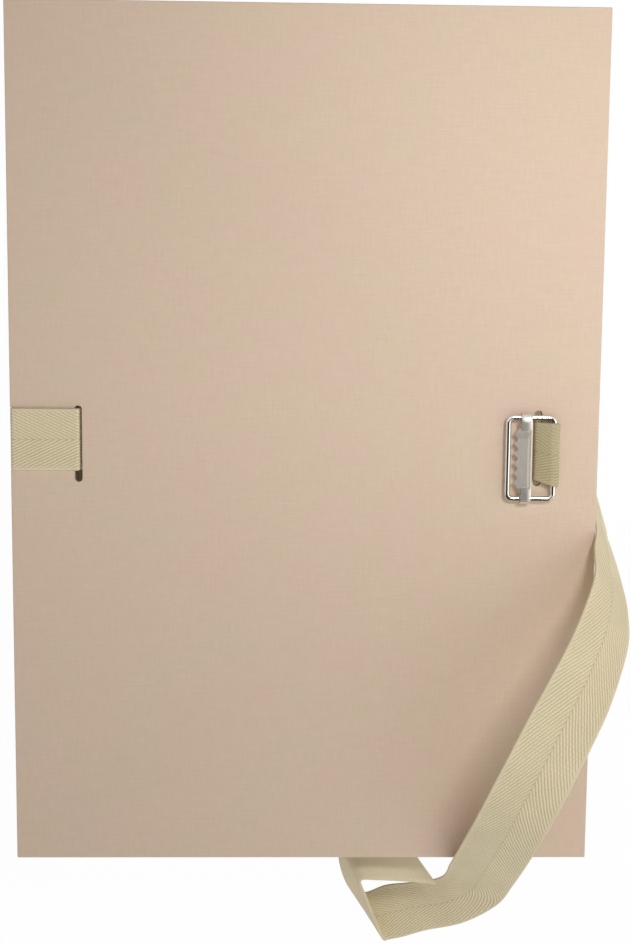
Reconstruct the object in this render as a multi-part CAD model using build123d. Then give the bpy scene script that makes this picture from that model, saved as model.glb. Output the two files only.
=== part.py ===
"""Expanding spine folder: two stiff covers, a pleated card spine between them and one webbing strap.

The folder lies on its back cover. +X runs from the spine to the fore-edge, +Y to the top edge and
+Z up through the front cover. The origin is under the middle of the covers, on the surface that the
strap lies on. Millimetres.
"""

import os
from math import cos, radians, sin

from build123d import *

# Covers
COVER_WIDTH = 240.0
COVER_HEIGHT = 350.0
BOARD_THICKNESS = 2.0
PAPER_THICKNESS = 0.3
LINING_THICKNESS = 0.2
TURN_IN = 15.0  # how far the covering paper is folded over onto the inside
LINING_MARGIN = 4.0  # from the cover's edge to the lining's edge

# Spine
PANEL_DEPTH = 22.0  # from an outer fold to an inner fold
PANEL_THICKNESS = 0.5
PLEATS = 3
CLOSED_ANGLE = 8.0  # degrees between a panel and the covers, folded flat
OPEN_ANGLE = 50.0  # the same angle with the spine pulled out
FOLD_TAPE_RADIUS = 1.1
FOLD_TAPE_THICKNESS = 0.5
FOLD_TAPE_CLEARANCE = 0.1
FOLD_TAPE_INSET = 1.55  # from the covers' spine edge to the tape's outside
PANEL_START = 0.3  # from the panel's own axis to its edge
FOLD_GAP = 0.6  # between the axes of the two panels that meet at an outer fold
VALLEY_RELIEF = 3.6  # the upper panel of a pleat stops this short of the inner fold
VALLEY_TAPE_THICKNESS = 0.4
VALLEY_TAPE_HEIGHT = 3.0
VALLEY_TAPE_FOOT = 0.35

# Strap
STRAP_WIDTH = 25.4
STRAP_THICKNESS = 1.2
STRAP_BEND = 0.8  # radius of the strap's middle where it turns through a slot
STRAP_SPINE_BEND = 0.9
STRAP_NOTCH_DEPTH = 1.45  # the covers' spine edges are cut back this far, so the strap lies flush
STRAP_NOTCH_MARGIN = 0.4  # beside each selvedge
STRAP_SEAM_INSET = 2.5  # from the spine edge to where the bent and the flat stretches meet
STRAP_SPLIT_DEPTH = 5.0  # the spine stretch ends this far below the front cover
STRAP_FRONT_Y = 1.9  # middle of the strap on the spine side
STRAP_BUCKLE_Y = -2.2  # middle of the strap at the buckle
STRAP_EXIT_Y = -25.0  # middle of the strap where it leaves at the fore-edge

# Slots in the front cover
SLOT_WIDTH = 3.2
SLOT_LENGTH = 31.2
SPINE_SLOT_INSET = 27.5  # from the spine edge to the slot's middle
SPINE_SLOT_Y = 0.1
BUCKLE_SLOT_INSET = 25.0  # from the fore-edge to the slot's middle
BUCKLE_SLOT_Y = -0.5
STRAP_TAB_LENGTH = 14.0  # the loop's sewn end, inside the cover
FRONT_RUN_TAIL = 4.5  # from the spine slot's middle to the seam inside
LOOP_TAIL = 4.0  # from the buckle slot's middle back to the seam inside

# Buckle
WIRE_DIAMETER = 2.2
BUCKLE_WIDTH = 21.0
BUCKLE_LENGTH = 35.4
BUCKLE_FROM_SLOT = 3.2  # from the slot's middle back to the frame's middle
BUCKLE_Y = -4.4
BUCKLE_CORNER = 2.2  # radius of the wire's middle
LOOP_CLEARANCE = 0.1
LOOP_WRAP_EASE = 0.1  # the wrap's corners are rounder than a half circle by this
LOOP_CREST_REACH = 1.2  # from the hinge wire back to where the loop's upper layer starts to fall
LOOP_SLOT_RISE = 1.1  # of the upper layer over the cover, where it leaves the slot
BAR_PLATE_LENGTH = 24.6
BAR_THICKNESS = 0.8
BAR_RUNNING_CLEARANCE = 0.05
BAR_TEETH = 6
BAR_TOOTH_PITCH = 4.0
BAR_TOOTH_DEPTH = 1.3
BAR_TOOTH_TIP = 0.6  # width of a tooth's blunt tip
BAR_TOOTH_ROOT = 0.8  # width of the flat between two teeth
BAR_TIP_REACH = 6.7  # from the frame's middle to the tips of the teeth
BAR_FLAT_REACH = 1.6  # from the frame's middle to where the flat begins
BAR_LIP_REACH = 0.2  # from the frame's middle to the lip's back
BAR_TAB_WIDTH = 4.1
BAR_TIP_RISE = 3.0  # underside of the teeth over the cover
BAR_FLAT_RISE = 4.95  # underside of the flat over the cover
BAR_LIP_RISE = 5.9
BAR_BEND = 0.4  # chamfer in the bends of the plate
BAR_TAB_OVERLAP = 1.0  # of a tab's arm into the plate
BAR_NECK_REACH = 0.2  # from the roll's inside up to the neck under the arm

# Stitches that hold the loop's end
STITCH_LENGTH = 2.4
STITCH_PITCH = 3.6
STITCH_DIAMETER = 0.5
STITCH_EDGE = 2.4  # from the strap's edge to the seam
STITCH_ROWS = (5.0, 12.0)  # from the buckle slot's middle

# Loose end of the strap, after it leaves the fore-edge, to its cut end. Each pair is a point of the left
# selvedge and a point of the right one, as seen looking down on the front cover, with X from the fore-edge.
LOOSE_SELVEDGES = [
    ((2.4, -13.6, 4.8), (9.0, -36.4, 2.2)),
    ((1.1, -21.5, 15.0), (11.0, -42.9, 5.2)),
    ((0.9, -33.0, 28.0), (12.4, -50.2, 12.5)),
    ((-1.2, -40.5, 34.5), (13.2, -58.8, 23.0)),
    ((-3.6, -49.5, 45.0), (12.5, -67.0, 36.0)),
    ((-9.5, -59.5, 56.0), (9.8, -77.0, 50.0)),
    ((-17.5, -72.0, 66.0), (3.6, -88.6, 62.0)),
    ((-27.3, -85.0, 76.0), (-3.6, -99.4, 73.0)),
    ((-35.5, -98.4, 80.0), (-10.9, -111.7, 78.5)),
    ((-42.9, -113.0, 81.0), (-17.4, -125.4, 79.5)),
    ((-48.8, -128.6, 76.0), (-22.5, -139.5, 75.0)),
    ((-52.9, -144.1, 66.0), (-26.0, -154.5, 64.5)),
    ((-55.8, -160.0, 51.0), (-27.9, -169.2, 49.0)),
    ((-57.7, -175.3, 33.0), (-30.0, -186.5, 29.5)),
    ((-58.3, -188.6, 15.0), (-34.0, -204.5, 10.5)),
    ((-64.0, -194.6, 6.5), (-47.7, -215.7, 3.5)),
    ((-73.0, -197.2, 3.0), (-64.3, -220.1, 1.8)),
    ((-82.2, -198.8, 1.6), (-74.1, -223.3, 1.2)),
    ((-90.4, -202.1, 1.4), (-80.7, -224.5, 1.6)),
    ((-95.1, -202.2, 1.6), (-82.6, -223.8, 4.0)),
    ((-98.9, -198.7, 2.2), (-84.7, -217.9, 9.0)),
    ((-101.8, -191.7, 3.5), (-88.3, -207.7, 15.0)),
    ((-103.5, -183.7, 6.0), (-92.0, -197.0, 19.5)),
    ((-104.2, -175.2, 9.0), (-94.6, -188.7, 21.5)),
    ((-98.7, -165.8, 12.0), (-87.7, -188.6, 20.5)),
    ((-90.0, -163.0, 13.5), (-74.5, -190.3, 18.2)),
    ((-82.8, -162.5, 14.5), (-61.3, -192.1, 17.0)),
]

# Worked out from the values above
COVER_THICKNESS = 2 * PAPER_THICKNESS + BOARD_THICKNESS + LINING_THICKNESS
SPINE_X = -COVER_WIDTH / 2
FORE_EDGE_X = COVER_WIDTH / 2
SPINE_SLOT_X = SPINE_X + SPINE_SLOT_INSET
BUCKLE_SLOT_X = FORE_EDGE_X - BUCKLE_SLOT_INSET
BUCKLE_X = BUCKLE_SLOT_X - BUCKLE_FROM_SLOT
BAR_TIP_X = BUCKLE_X - BAR_TIP_REACH
BAR_FLAT_X = BUCKLE_X - BAR_FLAT_REACH
BAR_LIP_X = BUCKLE_X - BAR_LIP_REACH
FOLD_X = SPINE_X + FOLD_TAPE_RADIUS + FOLD_TAPE_INSET
STRAP_SPINE_X = SPINE_X + STRAP_THICKNESS / 2
STRAP_SEAM_X = SPINE_X + STRAP_SEAM_INSET
FRONT_SEAM_X = SPINE_SLOT_X + FRONT_RUN_TAIL
LOOP_SEAM_X = BUCKLE_SLOT_X - LOOP_TAIL
BACK_COVER_Z = STRAP_THICKNESS
BACK_INSIDE_Z = BACK_COVER_Z + COVER_THICKNESS
BACK_FOLD_Z = BACK_INSIDE_Z + FOLD_TAPE_RADIUS + FOLD_TAPE_CLEARANCE
PLEAT_RISE = 2 * PANEL_DEPTH * sin(radians(CLOSED_ANGLE))
FRONT_FOLD_Z = BACK_FOLD_Z + PLEATS * PLEAT_RISE + (PLEATS - 1) * FOLD_GAP
FRONT_COVER_Z = FRONT_FOLD_Z + FOLD_TAPE_RADIUS + FOLD_TAPE_CLEARANCE
COVER_TOP_Z = FRONT_COVER_Z + COVER_THICKNESS
EXPANSION = PLEATS * 2 * PANEL_DEPTH * (sin(radians(OPEN_ANGLE)) - sin(radians(CLOSED_ANGLE)))
WIRE_RADIUS = WIRE_DIAMETER / 2
WIRE_Z = COVER_TOP_Z + STRAP_THICKNESS + LOOP_CLEARANCE + WIRE_RADIUS
HINGE_WIRE_X = BUCKLE_X + BUCKLE_WIDTH / 2 - WIRE_RADIUS
TOP_STRAP_Z = COVER_TOP_Z + STRAP_THICKNESS / 2
INNER_STRAP_Z = FRONT_COVER_Z - STRAP_THICKNESS / 2
STRAP_SPLIT_Z = FRONT_COVER_Z - STRAP_SPLIT_DEPTH


def box_between(low, high):
    """A block with these lowest and highest corners."""
    size = [b - a for a, b in zip(low, high)]
    return Pos(*low) * Box(*size, align=(Align.MIN, Align.MIN, Align.MIN))


def sheet_at(width, height, z_low, z_high):
    """A flat rectangle centred on the covers."""
    return box_between((-width / 2, -height / 2, z_low), (width / 2, height / 2, z_high))


def slots(z_low, z_high):
    """The two round-ended slots, as solids to cut away."""
    cutters = []
    for x, y in ((SPINE_SLOT_X, SPINE_SLOT_Y), (BUCKLE_SLOT_X, BUCKLE_SLOT_Y)):
        outline = Pos(x, y, z_low) * Rot(0, 0, 90) * SlotOverall(SLOT_LENGTH, SLOT_WIDTH)
        cutters.append(extrude(outline, z_high - z_low))
    return cutters


def strap_notch(z_low, z_high):
    """The recess in a cover's spine edge that the strap bends through, as a solid to cut away."""
    half = STRAP_WIDTH / 2 + STRAP_NOTCH_MARGIN
    low = (SPINE_X - STRAP_NOTCH_DEPTH, STRAP_FRONT_Y - half, z_low)
    high = (SPINE_X + STRAP_NOTCH_DEPTH, STRAP_FRONT_Y + half, z_high)
    return box_between(low, high)


def cover(z_low, outside_up):
    """The board, covering paper and lining of one cover, from its lower face up."""
    z_high = z_low + COVER_THICKNESS
    if outside_up:
        board_low = z_high - PAPER_THICKNESS - BOARD_THICKNESS
        window = (board_low - PAPER_THICKNESS, board_low)
        lining = (z_low, z_low + LINING_THICKNESS)
    else:
        board_low = z_low + PAPER_THICKNESS
        window = (board_low + BOARD_THICKNESS, board_low + BOARD_THICKNESS + PAPER_THICKNESS)
        lining = (z_high - LINING_THICKNESS, z_high)
    board_high = board_low + BOARD_THICKNESS
    board_width = COVER_WIDTH - 2 * PAPER_THICKNESS
    board_height = COVER_HEIGHT - 2 * PAPER_THICKNESS
    window_width = COVER_WIDTH - 2 * TURN_IN
    window_height = COVER_HEIGHT - 2 * TURN_IN

    board = sheet_at(board_width, board_height, board_low, board_high)
    paper = sheet_at(COVER_WIDTH, COVER_HEIGHT, board_low - PAPER_THICKNESS, board_high + PAPER_THICKNESS)
    paper = paper - board - sheet_at(window_width, window_height, *window)
    lining_sheet = sheet_at(COVER_WIDTH - 2 * LINING_MARGIN, COVER_HEIGHT - 2 * LINING_MARGIN, *lining)
    lining_sheet = lining_sheet + sheet_at(window_width, window_height, *window)
    notch = strap_notch(z_low, z_high)
    return board - notch, paper - notch, lining_sheet


def panel_axis(index):
    """Height of the axis that a panel turns on; panels are numbered from the back cover."""
    pleat = (index - 1) // 2
    lower = BACK_FOLD_Z + pleat * (PLEAT_RISE + FOLD_GAP)
    return lower if index % 2 == 1 else lower + PLEAT_RISE


def spine_panel(index):
    """One card panel: odd ones rise from their outer fold, even ones fall from theirs."""
    rises = index % 2 == 1
    end = PANEL_DEPTH if rises else PANEL_DEPTH - VALLEY_RELIEF
    near_edge = (Align.MIN, Align.CENTER, Align.CENTER)
    card = Box(end - PANEL_START, COVER_HEIGHT, PANEL_THICKNESS, align=near_edge)
    turn = -CLOSED_ANGLE if rises else CLOSED_ANGLE
    return Pos(FOLD_X, 0, panel_axis(index)) * Rot(0, turn, 0) * Pos(PANEL_START, 0, 0) * card


def outer_fold_tape(z):
    """Half-round cloth tape over an outer fold, open towards the panels."""
    inner = FOLD_TAPE_RADIUS - FOLD_TAPE_THICKNESS
    ring = Rot(90, 0, 0) * (
        Cylinder(FOLD_TAPE_RADIUS, COVER_HEIGHT) - Cylinder(inner, COVER_HEIGHT)
    )
    far = 2 * FOLD_TAPE_RADIUS
    outer_half = box_between((-far, -COVER_HEIGHT, -far), (0, COVER_HEIGHT, far))
    return Pos(FOLD_X, 0, z) * (ring & outer_half)


def inner_fold_tape(pleat):
    """Cloth tape that closes an inner fold; it stands on the end of the lower panel."""
    reach = PANEL_DEPTH * cos(radians(CLOSED_ANGLE)) + FOLD_TAPE_CLEARANCE
    fold_z = panel_axis(2 * pleat + 1) + PLEAT_RISE / 2
    low = (FOLD_X + reach, -COVER_HEIGHT / 2, fold_z - VALLEY_TAPE_FOOT)
    high = (FOLD_X + reach + VALLEY_TAPE_THICKNESS, COVER_HEIGHT / 2, fold_z + VALLEY_TAPE_HEIGHT)
    return box_between(low, high)


def strap_along(points, radii, y):
    """Webbing that follows a path in the XZ plane, with its middle at this Y."""
    path = FilletPolyline(*[(x, y, z) for x, z in points], radius=radii)
    start = Plane(origin=path @ 0, x_dir=(0, 1, 0), z_dir=path % 0)
    return sweep(start * Rectangle(STRAP_WIDTH, STRAP_THICKNESS), path=path)


def slanted_strap(x_from, y_from, x_to, y_to, z_low):
    """Flat webbing between two places, cut square to X at its ends."""
    slope = (y_to - y_from) / (x_to - x_from)
    half = STRAP_WIDTH / 2 * (1 + slope**2) ** 0.5
    corners = [(x_from, y_from - half), (x_to, y_to - half), (x_to, y_to + half), (x_from, y_from + half)]
    face = Pos(0, 0, z_low) * make_face(Polyline(*corners, close=True))
    return extrude(face, STRAP_THICKNESS)


def strap_front_run():
    """Over the front cover, down through the slot and a little way inside."""
    points = [
        (STRAP_SEAM_X, TOP_STRAP_Z),
        (SPINE_SLOT_X, TOP_STRAP_Z),
        (SPINE_SLOT_X, INNER_STRAP_Z),
        (FRONT_SEAM_X, INNER_STRAP_Z),
    ]
    return strap_along(points, STRAP_BEND, STRAP_FRONT_Y)


def strap_inner_run():
    """Inside the front cover, from slot to slot."""
    z_low = INNER_STRAP_Z - STRAP_THICKNESS / 2
    return slanted_strap(FRONT_SEAM_X, STRAP_FRONT_Y, LOOP_SEAM_X, STRAP_BUCKLE_Y, z_low)


def strap_buckle_loop():
    """Out of the slot, round the buckle's wire, back down and along the inside to its sewn end."""
    up = BUCKLE_SLOT_X - SLOT_WIDTH / 2 + STRAP_BEND
    down = BUCKLE_SLOT_X + SLOT_WIDTH / 2 - STRAP_BEND
    reach = WIRE_RADIUS + LOOP_CLEARANCE + STRAP_THICKNESS / 2
    top = WIRE_Z + reach
    low = WIRE_Z - reach
    fold_x = HINGE_WIRE_X + reach
    crest_x = HINGE_WIRE_X - LOOP_CREST_REACH
    points = [
        (LOOP_SEAM_X, INNER_STRAP_Z),
        (up, INNER_STRAP_Z),
        (up, COVER_TOP_Z + LOOP_SLOT_RISE),
        (crest_x, top),
        (fold_x, top),
        (fold_x, low),
        (down, low),
        (down, INNER_STRAP_Z),
        (down + STRAP_TAB_LENGTH, INNER_STRAP_Z),
    ]
    wrap = reach - LOOP_WRAP_EASE
    radii = [STRAP_BEND, STRAP_BEND, STRAP_BEND, wrap, wrap, STRAP_BEND, STRAP_BEND]
    return strap_along(points, radii, STRAP_BUCKLE_Y)


def strap_spine_run():
    """From under the back cover up the outside of the spine."""
    low = STRAP_THICKNESS / 2
    points = [(STRAP_SEAM_X, low), (STRAP_SPINE_X, low), (STRAP_SPINE_X, STRAP_SPLIT_Z)]
    return strap_along(points, STRAP_SPINE_BEND, STRAP_FRONT_Y)


def strap_spine_bend():
    """Round the front cover's spine edge."""
    points = [(STRAP_SPINE_X, STRAP_SPLIT_Z), (STRAP_SPINE_X, TOP_STRAP_Z), (STRAP_SEAM_X, TOP_STRAP_Z)]
    return strap_along(points, STRAP_SPINE_BEND, STRAP_FRONT_Y)


def strap_back_run():
    """Flat under the back cover, slanting to where the strap leaves at the fore-edge."""
    return slanted_strap(STRAP_SEAM_X, STRAP_FRONT_Y, FORE_EDGE_X, STRAP_EXIT_Y, 0)


def strap_loose_end():
    """The free end: up the fore-edge, over the cover's corner, down, and curled back to its cut end."""
    edge = Vector(FORE_EDGE_X, 0, 0)
    start = Vector(FORE_EDGE_X, STRAP_EXIT_Y, STRAP_THICKNESS / 2)
    half = Vector(0, STRAP_WIDTH / 2, 0)
    pairs = [(start + half, start - half)]
    pairs += [(Vector(*left) + edge, Vector(*right) + edge) for left, right in LOOSE_SELVEDGES]
    middles = [(left + right) / 2 for left, right in pairs]
    sections = []
    for i, (left, right) in enumerate(pairs):
        along = middles[min(i + 1, len(pairs) - 1)] - middles[max(i - 1, 0)]
        if i == 0:
            along = Vector(1, 0, 0)
        off = along.cross(right - left).normalized() * (STRAP_THICKNESS / 2)
        corners = [left - off, right - off, right + off, left + off]
        sections.append(make_face(Polyline(*corners, close=True)))
    return loft(sections, ruled=True)


def loop_stitches():
    """Two seams of thread under the loop's sewn end, across the strap."""
    stitches = []
    z = INNER_STRAP_Z - STRAP_THICKNESS / 2 - STITCH_DIAMETER / 2
    count = int((STRAP_WIDTH - 2 * STITCH_EDGE) / STITCH_PITCH) + 1
    for row in STITCH_ROWS:
        for i in range(count):
            y = STRAP_BUCKLE_Y + (i - (count - 1) / 2) * STITCH_PITCH
            stitch = Rot(90, 0, 0) * Cylinder(STITCH_DIAMETER / 2, STITCH_LENGTH)
            stitches.append(Pos(BUCKLE_SLOT_X + row, y, z) * stitch)
    return Compound(children=stitches)


def buckle_frame():
    """Round wire bent to a rectangle with rounded corners."""
    path = Pos(BUCKLE_X, BUCKLE_Y, WIRE_Z) * RectangleRounded(
        BUCKLE_WIDTH - WIRE_DIAMETER, BUCKLE_LENGTH - WIRE_DIAMETER, BUCKLE_CORNER
    )
    wire = path.wire()
    start = Plane(origin=wire @ 0, z_dir=wire % 0)
    return sweep(start * Circle(WIRE_RADIUS), path=wire)


def bar_plate():
    """The bar's bent plate, from its toothed edge up over a flat to its lip."""
    tip_z = COVER_TOP_Z + BAR_TIP_RISE
    flat_z = COVER_TOP_Z + BAR_FLAT_RISE
    lip_z = COVER_TOP_Z + BAR_LIP_RISE
    lip_front_x = BAR_LIP_X - BAR_THICKNESS
    outline = [
        (BAR_TIP_X, tip_z),
        (BAR_FLAT_X, flat_z),
        (BAR_LIP_X - BAR_BEND, flat_z),
        (BAR_LIP_X, flat_z + BAR_BEND),
        (BAR_LIP_X, lip_z),
        (lip_front_x, lip_z),
        (lip_front_x - BAR_BEND, flat_z + BAR_THICKNESS),
        (BAR_FLAT_X, flat_z + BAR_THICKNESS),
        (BAR_TIP_X, tip_z + BAR_THICKNESS),
    ]
    y = BUCKLE_Y + BAR_PLATE_LENGTH / 2
    face = make_face(Polyline(*[(x, y, z) for x, z in outline], close=True))
    plate = extrude(face, BAR_PLATE_LENGTH, dir=(0, -1, 0))
    mouth_x = BAR_TIP_X - BAR_THICKNESS
    mouth = BAR_TOOTH_PITCH / 2
    tip_half = mouth - BAR_TOOTH_TIP / 2
    root_half = BAR_TOOTH_ROOT / 2
    root_x = BAR_TIP_X + BAR_TOOTH_DEPTH
    first = BUCKLE_Y - BAR_TOOTH_PITCH * (BAR_TEETH - 1) / 2
    for i in range(-1, BAR_TEETH):
        y = first + (i + 0.5) * BAR_TOOTH_PITCH
        notch = [
            (mouth_x, y - tip_half),
            (BAR_TIP_X, y - tip_half),
            (root_x, y - root_half),
            (root_x, y + root_half),
            (BAR_TIP_X, y + tip_half),
            (mouth_x, y + tip_half),
        ]
        face = Pos(0, 0, COVER_TOP_Z) * make_face(Polyline(*notch, close=True))
        plate = plate - extrude(face, BAR_LIP_RISE)
    return plate


def bar_tab(side):
    """One end of the bar, rolled round the frame's end wire. side is +1 for the top end."""
    inner = WIRE_RADIUS + BAR_RUNNING_CLEARANCE
    outer = inner + BAR_THICKNESS
    wire_y = BUCKLE_Y + side * (BUCKLE_LENGTH / 2 - WIRE_RADIUS)
    middle_x = BAR_LIP_X - BAR_TAB_WIDTH / 2
    roll = Cylinder(outer, BAR_TAB_WIDTH) - Cylinder(inner, BAR_TAB_WIDTH)
    roll = Pos(middle_x, wire_y, WIRE_Z) * Rot(0, 90, 0) * roll
    flat_low = COVER_TOP_Z + BAR_FLAT_RISE
    near_y = BUCKLE_Y + side * (BAR_PLATE_LENGTH / 2 - BAR_TAB_OVERLAP)
    ys = sorted([near_y, wire_y + side * BAR_THICKNESS])
    low_x = BAR_LIP_X - BAR_TAB_WIDTH
    arm = box_between((low_x, ys[0], flat_low), (BAR_LIP_X, ys[1], flat_low + BAR_THICKNESS))
    neck_ys = sorted([wire_y - side * BAR_THICKNESS, wire_y + side * BAR_THICKNESS])
    neck_low = WIRE_Z + inner + BAR_NECK_REACH
    neck = box_between((low_x, neck_ys[0], neck_low), (BAR_LIP_X, neck_ys[1], flat_low + BAR_THICKNESS))
    return roll + arm + neck


def buckle_bar():
    """Toothed bar that slides on the frame's two end wires and bites the strap."""
    return bar_plate() + bar_tab(1) + bar_tab(-1)


def build():
    """Every piece by name."""
    parts = {}
    board, paper, lining = cover(FRONT_COVER_Z, outside_up=True)
    cutters = slots(FRONT_COVER_Z - 1, COVER_TOP_Z + 1)
    parts["front_board"] = board - cutters
    parts["front_cover_paper"] = paper - cutters
    parts["front_lining"] = lining - cutters
    board, paper, lining = cover(BACK_COVER_Z, outside_up=False)
    parts["back_board"] = board
    parts["back_cover_paper"] = paper
    parts["back_lining"] = lining
    for index in range(1, 2 * PLEATS + 1):
        parts[f"spine_panel_{index}"] = spine_panel(index)
    parts["back_fold_tape"] = outer_fold_tape(BACK_FOLD_Z)
    for pleat in range(1, PLEATS):
        parts[f"ridge_fold_tape_{pleat}"] = outer_fold_tape(panel_axis(2 * pleat) + FOLD_GAP / 2)
    parts["front_fold_tape"] = outer_fold_tape(FRONT_FOLD_Z)
    for pleat in range(PLEATS):
        parts[f"valley_fold_tape_{pleat + 1}"] = inner_fold_tape(pleat)
    parts["strap_front_run"] = strap_front_run()
    parts["strap_inner_run"] = strap_inner_run()
    parts["strap_buckle_loop"] = strap_buckle_loop()
    parts["strap_spine_run"] = strap_spine_run()
    parts["strap_spine_bend"] = strap_spine_bend()
    parts["strap_back_run"] = strap_back_run()
    parts["strap_loose_end"] = strap_loose_end()
    parts["loop_stitches"] = loop_stitches()
    parts["buckle_frame"] = buckle_frame()
    parts["buckle_bar"] = buckle_bar()
    return parts


os.makedirs("parts", exist_ok=True)
for name, shape in build().items():
    export_step(shape, f"parts/{name}.step")
print(f"cover top at {COVER_TOP_Z:.2f}, front fold at {FRONT_FOLD_Z:.3f}, expansion {EXPANSION:.3f}")
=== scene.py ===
import math

import bmesh
import bpy
import numpy as np
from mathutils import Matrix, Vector


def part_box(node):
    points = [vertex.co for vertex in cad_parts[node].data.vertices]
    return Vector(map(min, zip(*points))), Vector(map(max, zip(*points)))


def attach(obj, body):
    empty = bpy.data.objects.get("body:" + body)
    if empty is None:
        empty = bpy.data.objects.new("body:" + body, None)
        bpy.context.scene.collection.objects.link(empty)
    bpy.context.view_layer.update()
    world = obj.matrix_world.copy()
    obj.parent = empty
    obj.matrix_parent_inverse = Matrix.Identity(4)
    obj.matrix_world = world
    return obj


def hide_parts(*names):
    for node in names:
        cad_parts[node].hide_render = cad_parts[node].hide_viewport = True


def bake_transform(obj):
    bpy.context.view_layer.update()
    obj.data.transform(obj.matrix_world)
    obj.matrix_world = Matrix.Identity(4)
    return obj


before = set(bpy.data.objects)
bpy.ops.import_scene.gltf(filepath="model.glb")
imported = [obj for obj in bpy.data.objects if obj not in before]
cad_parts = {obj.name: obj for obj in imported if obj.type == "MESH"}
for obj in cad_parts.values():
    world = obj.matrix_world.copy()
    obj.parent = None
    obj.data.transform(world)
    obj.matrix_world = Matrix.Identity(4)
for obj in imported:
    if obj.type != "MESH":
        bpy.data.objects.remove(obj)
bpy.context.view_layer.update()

# Places read from the frame, in metres
COVER_LOW, COVER_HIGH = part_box("front_cover_paper")
COVER_TOP = COVER_HIGH.z
COVER_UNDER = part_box("front_lining")[0].z
SPINE_X = COVER_LOW.x
FORE_EDGE_X = COVER_HIGH.x

# Covers
PAPER_THICKNESS = 0.0003
TURN_IN = 0.015
EDGE_ROUNDING = 0.00045
CREASE = math.radians(35)  # edges of the covering that turn more than this stay crisp
MITRE_WIDTH = 0.0002
MITRE_LENGTH = 1.44 * TURN_IN  # a little over the turn-in's diagonal
CUT_REACH = 0.001  # how far a slot's cutter stands out of the cover

# Slots in the front cover, placed by their middles in X and Y
SLOT_WIDTH = 0.0032
SLOT_LENGTH = 0.0312
SPINE_SLOT = (SPINE_X + 0.0275, 0.0001)
BUCKLE_SLOT = (FORE_EDGE_X - 0.025, -0.0005)

# Strap
STRAP_WIDTH = 0.0254
STRAP_THICKNESS = 0.0012
STRAP_FRONT_Y = 0.0019
STRAP_BUCKLE_Y = -0.0022
STRAP_EXIT_Y = -0.025
STRAP_BEND = 0.0008
STRAP_SPINE_BEND = 0.0009
STRAP_SPINE_X = SPINE_X + STRAP_THICKNESS / 2
STRAP_SEAM_X = SPINE_X + 0.0025  # where the bent and the flat stretches meet
STRAP_SPLIT_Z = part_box("strap_spine_run")[1].z
NOTCH_DEPTH = 0.00145  # of the covers' spine edges, where the strap bends round them
NOTCH_MARGIN = 0.0001  # from the strap's selvedges to the notch's ends
STRAP_TAB_LENGTH = 0.014
FLOOR_STRAP_Z = STRAP_THICKNESS / 2
INNER_STRAP_Z = COVER_UNDER - STRAP_THICKNESS / 2
TOP_STRAP_Z = COVER_TOP + STRAP_THICKNESS / 2
FRONT_SEAM_X = SPINE_SLOT[0] + 0.0045
LOOP_SEAM_X = BUCKLE_SLOT[0] - 0.004

# Weave of the strap: depths, ripples and heights other than RIB_HEIGHT are shares of it. The heights also
# set the webbing's colour, painted darker in the grooves as shade
RIB_ANGLE = math.radians(25)  # of the ribs to the strap's length
RIB_PITCH = 0.00267  # from rib to rib along the strap
RIB_HEIGHT = 0.00022
RIB_POWER = 0.8  # below 1 the ribs are wider than the grooves
RIB_WOBBLE = 0.03  # share of the pitch that the ribs wander
WOBBLE_WAVES = ((410, 900), (173, -1500))  # radians per metre along and across
BEAD_PITCH = 0.00088  # of the floats that make up a rib
BEAD_DEPTH = 0.14
SEAM_DEPTH = 0.45  # of the groove in the middle, where the two slants meet
SEAM_REACH = 0.0003
SELVEDGE = 0.0015  # plain border where the ribs fade out
BARE_EDGE = 0.0005  # outermost part of it, with no ribs at all
PLAIN_HEIGHT = 0.55
PLAIN_RIPPLE = 0.12
PLAIN_PITCH = 0.00124
EDGE_HEIGHT = 0.5  # what the selvedges' outermost line is coloured as
UNDER_HEIGHT = 0.62  # of the face without ribs
UNDER_RIPPLE = 0.03
UNDER_PITCH = 0.0022
UNDER_SLANT = 2200  # radians per metre across
UNDER_RELIEF = 0.00003  # in metres
ROUNDED_EDGE = 0.6 * STRAP_THICKNESS  # width over which the webbing thins to its selvedge
EDGE_THICKNESS = 0.55  # share of the thickness that is left there
ALONG_STEP = 0.0005
ACROSS_STEP = 0.00025
FACE_INSET = 0.012  # share of the width between the selvedge and the ribbed face's first point
UNDER_INSET = 0.015
UNDER_POINTS = 16

# Linen paper
LINEN_THREADS = (2100, 1900)  # per metre along X and along Y
LONG_SLUBS = (110, 1500, 1500)  # per metre along X, Y and Z
TALL_SLUBS = (1500, 150, 1500)
LINEN_RELIEF = 0.00006

# Buckle
WIRE_RADIUS = 0.0011
BUCKLE_WIDTH = 0.021
BUCKLE_LENGTH = 0.0354
BUCKLE_X = BUCKLE_SLOT[0] - 0.0032
BUCKLE_Y = -0.0044
BUCKLE_CORNER = 0.0022
LOOP_REACH = WIRE_RADIUS + 0.0001 + STRAP_THICKNESS / 2  # from the wire's middle to the strap's
WIRE_Z = TOP_STRAP_Z + LOOP_REACH
HINGE_WIRE_X = BUCKLE_X + BUCKLE_WIDTH / 2 - WIRE_RADIUS
LOOP_CREST_X = HINGE_WIRE_X - 0.0012  # from here the loop's upper layer falls towards the slot
LOOP_BULGE = 0.0011  # the upper layer swells this far past the slot, towards the bar
LOOP_BULGE_Z = COVER_TOP + 0.0016
LOOP_SLOT_Z = COVER_TOP + 0.0004
LOOP_STAGGER = 0.0012  # the loop's lower layer lies this far towards the bottom edge at the wire
LOOP_LEFT_SHIFT = (0.0, -0.0004)  # in Y, of the left selvedge, at the slot and at the wire
LOOP_RIGHT_SHIFT = (0.0014, -0.0009)
END_WIRE_REACH = BUCKLE_LENGTH / 2 - WIRE_RADIUS
BAR_THICKNESS = 0.0008
BAR_LENGTH = 0.0246
BAR_ROWS = 206  # of points, from one end of the plate to the other
BAR_TEETH = 6
BAR_TOOTH_PITCH = 0.004
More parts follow.
